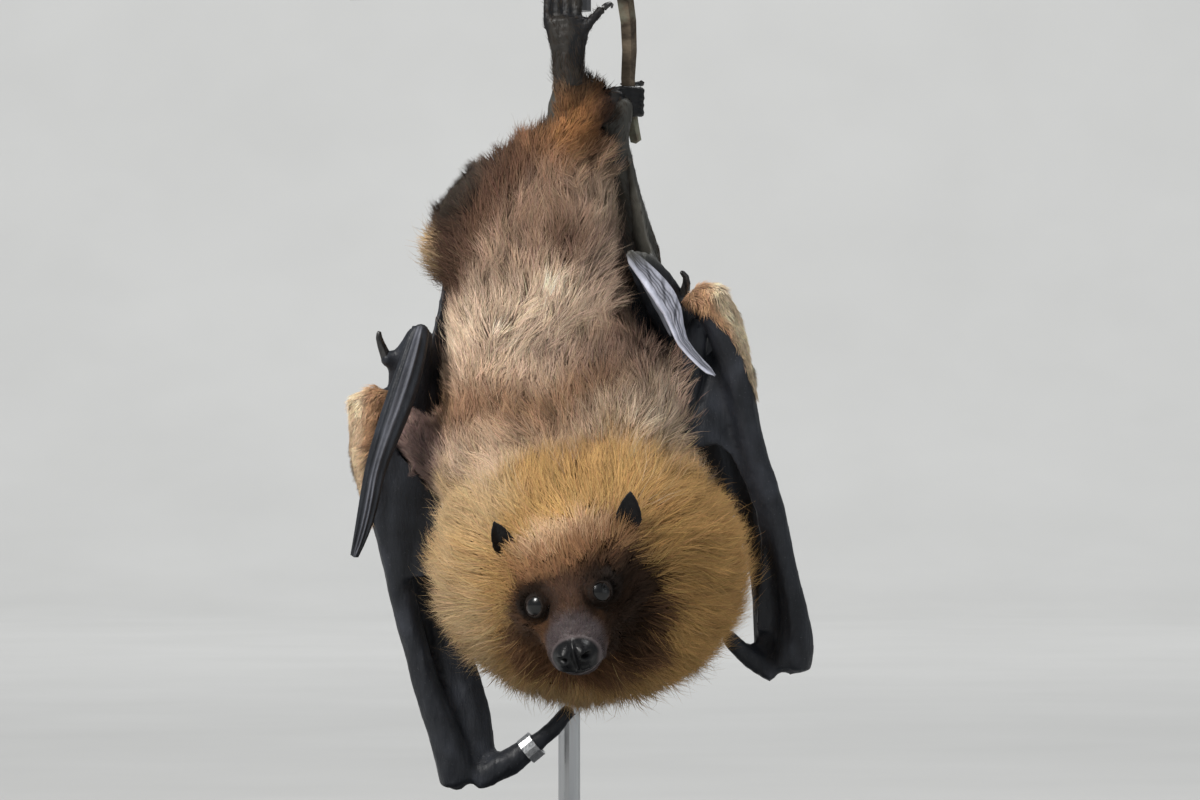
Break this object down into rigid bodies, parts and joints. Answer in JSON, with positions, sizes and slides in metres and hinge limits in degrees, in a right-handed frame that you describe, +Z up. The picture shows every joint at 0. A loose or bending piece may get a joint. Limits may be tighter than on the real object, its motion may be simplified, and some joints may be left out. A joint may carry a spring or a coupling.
{
  "type": "hanging fruit bat model",
  "caption": "Life-size golden fruit bat hanging head-down from a cut branch, head bent back to face forward, wings folded, on a flat base with a post.",
  "frame": {"origin": "centre of the base's flat underside, on the surface it stands on", "axes": "+Z up; the bat's face and back look along -Y; the bat's own left wing is on +X; the post stands behind it on +Y"},
  "size_m": [0.1641, 0.176, 0.304],
  "materials": {
    "stand_dark": "satin dark grey",
    "stand_steel": "brushed",
    "bark": "rough bark with cut ends",
    "eye": "wet, dark red-brown",
    "claw": "glossy black horn",
    "fur_gold": "golden-tan fur",
    "fur_tan": "pinkish-tan fur",
    "fur_orange": "orange-brown fur",
    "fur_brown": "brown fur",
    "wing_skin": "black, finely wrinkled bare skin",
    "band_metal": "dull light grey"
  },
  "bodies": {
    "root": {"arm_membrane_left": "wing_skin", "arm_membrane_right": "wing_skin", "claw_left_1": "claw", "claw_left_2": "claw", "claw_left_3": "claw", "claw_left_4": "claw", "claw_left_5": "claw", "claw_right_1": "claw", "claw_right_2": "claw", "claw_right_3": "claw", "claw_right_4": "claw", "claw_right_5": "claw", "ear_left": "wing_skin", "ear_right": "wing_skin", "eye_left": "eye", "eye_right": "eye", "foot_left": "wing_skin", "foot_right": "wing_skin", "forearm_left": "wing_skin", "forearm_right": "wing_skin", "hand_left": "wing_skin", "hand_right": "wing_skin", "head": "fur_brown", "index_claw_left": "claw", "index_claw_right": "claw", "lower_jaw": "fur_brown", "neck_ruff": "fur_gold", "nose": "wing_skin", "perch": "bark", "perch_twig": "bark", "shank_left": "fur_brown", "shank_right": "fur_brown", "side_membrane_left": "wing_skin", "side_membrane_right": "wing_skin", "stand_arm": "stand_steel", "stand_base": "stand_dark", "stand_hub": "stand_dark", "stand_post": "stand_steel", "tail_membrane": "fur_orange", "thigh_left": "fur_brown", "thigh_right": "fur_brown", "thumb_band": "band_metal", "thumb_claw_left": "claw", "thumb_claw_right": "claw", "thumb_left": "wing_skin", "thumb_right": "wing_skin", "trunk": "fur_tan", "upper_arm_left": "fur_brown", "upper_arm_right": "fur_brown", "wing_tip_left": "wing_skin", "wing_tip_right": "wing_skin"}
  },
  "joints": []
}
